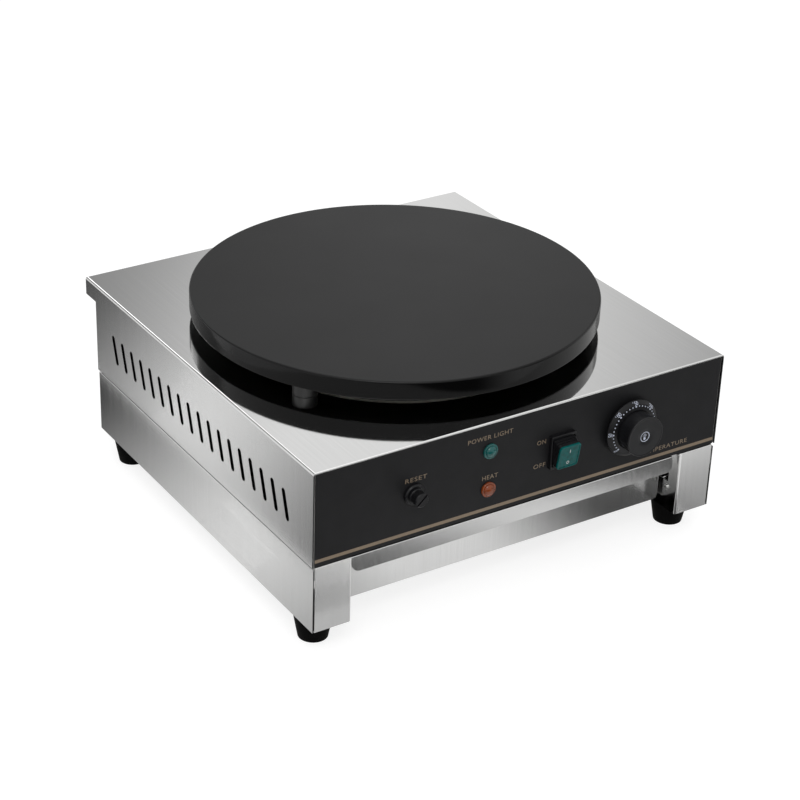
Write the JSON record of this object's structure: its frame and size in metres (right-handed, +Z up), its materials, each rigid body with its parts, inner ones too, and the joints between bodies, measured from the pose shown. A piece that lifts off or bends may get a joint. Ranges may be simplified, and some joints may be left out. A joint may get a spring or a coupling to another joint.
{
  "type": "electric crepe maker",
  "caption": "Countertop crepe maker: round cast griddle plate on short posts over a stainless box with a control panel, side vents, rubber feet and a pull-out drawer.",
  "frame": {"origin": "bottom centre of the whole machine, on the table under its feet", "axes": "+Z up, the control panel faces -Y, +X to the right seen from the front"},
  "size_m": [0.4524, 0.4786, 0.2219],
  "materials": {
    "stainless_sheet": "brushed",
    "inner_sheet": "satin",
    "fasteners": "satin",
    "griddle_cast_iron": "satin",
    "black_painted_steel": "satin",
    "element_sheath": "satin",
    "copper_tube": "satin",
    "insulation_board": "matte",
    "ceramic": "gloss",
    "foot_rubber": "matte",
    "panel_black": "satin",
    "black_plastic": "satin",
    "red_plastic": "satin",
    "green_lens": "gloss",
    "orange_lens": "gloss",
    "terminal_plastic": "matte",
    "wire_sleeve": "matte"
  },
  "bodies": {
    "housing": {"base_rear_panel": "inner_sheet", "base_side_left": "stainless_sheet", "base_side_right": "stainless_sheet", "control_overlay": "panel_black", "cord_gland": "black_plastic", "cover_fixing": "fasteners", "cutout_bezel": "black_plastic", "cutout_body": "black_plastic", "cutout_sensor": "copper_tube", "dial_ring": "black_plastic", "drawer_runner_left": "inner_sheet", "drawer_runner_right": "inner_sheet", "earth_stud": "fasteners", "element_bushings": "ceramic", "element_cover": "inner_sheet", "floor_pan": "inner_sheet", "foot_front_left": "foot_rubber", "foot_front_right": "foot_rubber", "foot_rear_left": "foot_rubber", "foot_rear_right": "foot_rubber", "foot_screws": "fasteners", "front_panel": "inner_sheet", "griddle_plate": "griddle_cast_iron", "heat_lamp_lens": "orange_lens", "heat_shield": "inner_sheet", "heating_element_inner": "element_sheath", "heating_element_outer": "element_sheath", "housing_screws": "fasteners", "insulation_disc": "insulation_board", "lamp_bodies": "black_plastic", "leg_front_left": "stainless_sheet", "leg_front_right": "stainless_sheet", "leg_rear_left": "stainless_sheet", "leg_rear_right": "stainless_sheet", "panel_nuts": "fasteners", "plate_post_1": "black_painted_steel", "plate_post_2": "black_painted_steel", "plate_post_3": "black_painted_steel", "post_bolts": "fasteners", "power_lamp_lens": "green_lens", "rear_panel": "inner_sheet", "switch_bezel": "black_plastic", "switch_body": "black_plastic", "terminal_block": "terminal_plastic", "thermostat_body": "black_plastic", "thermostat_screws": "fasteners", "thermostat_sensor": "copper_tube", "upper_housing": "stainless_sheet", "wires": "wire_sleeve"},
    "knob": {"thermostat_knob": "black_plastic", "knob_face_cap": "black_plastic", "thermostat_shaft": "element_sheath"},
    "rocker": {"switch_rocker": "green_lens", "rocker_skirt": "black_plastic"},
    "reset_cap": {"reset_cap": "black_plastic"},
    "reset_button": {"reset_button": "red_plastic"},
    "drawer": {"drawer_front": "stainless_sheet", "drawer_tray": "inner_sheet"}
  },
  "joints": [
    {"name": "drawer_slide", "type": "slide", "parent": "housing", "child": "drawer", "axis": [0, -1, 0], "range_m": [0, 0.3]},
    {"name": "knob_turn", "type": "hinge", "parent": "housing", "child": "knob", "pos_m": [0.116, -0.21275, 0.1451], "axis": [0, 1, 0], "range_deg": [0, 270]},
    {"name": "rocker_tip", "type": "hinge", "parent": "housing", "child": "rocker", "pos_m": [0.0389, -0.21595, 0.1413], "axis": [-1, 0, 0], "range_deg": [0, 20.4]},
    {"name": "reset_cap_pull", "type": "slide", "parent": "housing", "child": "reset_cap", "axis": [0, -1, 0], "range_m": [0, 0.016]},
    {"name": "reset_button_press", "type": "slide", "parent": "housing", "child": "reset_button", "axis": [0, 1, 0], "range_m": [0, 0.002], "stiffness_N_per_m": 500, "springref_m": -0.001}
  ]
}
